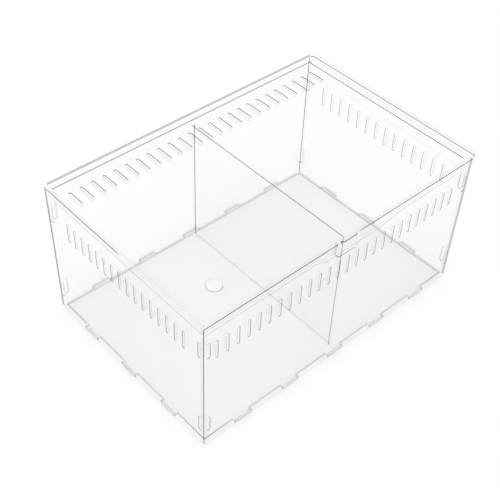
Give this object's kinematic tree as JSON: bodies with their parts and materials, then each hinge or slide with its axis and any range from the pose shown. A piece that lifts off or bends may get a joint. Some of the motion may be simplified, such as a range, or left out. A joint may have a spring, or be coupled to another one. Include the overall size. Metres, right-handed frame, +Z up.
{
  "type": "acrylic reptile box",
  "caption": "Clear flat-panel reptile box with a lift-off vented lid, finger notch and thumb tab, a drop-in divider, vent slots and corner clips.",
  "frame": {"origin": "middle of the whole footprint, on the surface that the walls stand on", "axes": "+X along the long side, to the right seen from the front; +Y to the back; +Z up; the thumb tab and finger notch are at the front, -Y"},
  "size_m": [0.305, 0.204, 0.145],
  "materials": {
    "clear_sheet": "clear cast acrylic sheet, polished faces, laser-cut edges",
    "clear_clip": "clear moulded plastic"
  },
  "bodies": {
    "box": {"bottom_panel": "clear_sheet", "front_panel": "clear_sheet", "back_panel": "clear_sheet", "left_panel": "clear_sheet", "right_panel": "clear_sheet", "clip_front_left_low": "clear_clip", "clip_front_left_high": "clear_clip", "clip_front_right_low": "clear_clip", "clip_front_right_high": "clear_clip", "clip_back_right_low": "clear_clip", "clip_back_right_high": "clear_clip", "clip_back_left_low": "clear_clip", "clip_back_left_high": "clear_clip"},
    "lid": {"lid_plate": "clear_sheet", "lid_strip_front": "clear_sheet", "lid_strip_back": "clear_sheet", "lid_strip_left": "clear_sheet", "lid_strip_right": "clear_sheet"},
    "divider": {"divider_panel": "clear_sheet"}
  },
  "joints": [
    {"name": "lid_lift", "type": "slide", "parent": "box", "child": "lid", "axis": [0, 0, 1], "range_m": [0, 0.3]},
    {"name": "divider_lift", "type": "slide", "parent": "box", "child": "divider", "axis": [0, 0, 1], "range_m": [0, 0.15]}
  ],
  "couplings": [
    {"joint": "divider_lift", "follows": "lid_lift", "ratio": 0.5}
  ]
}
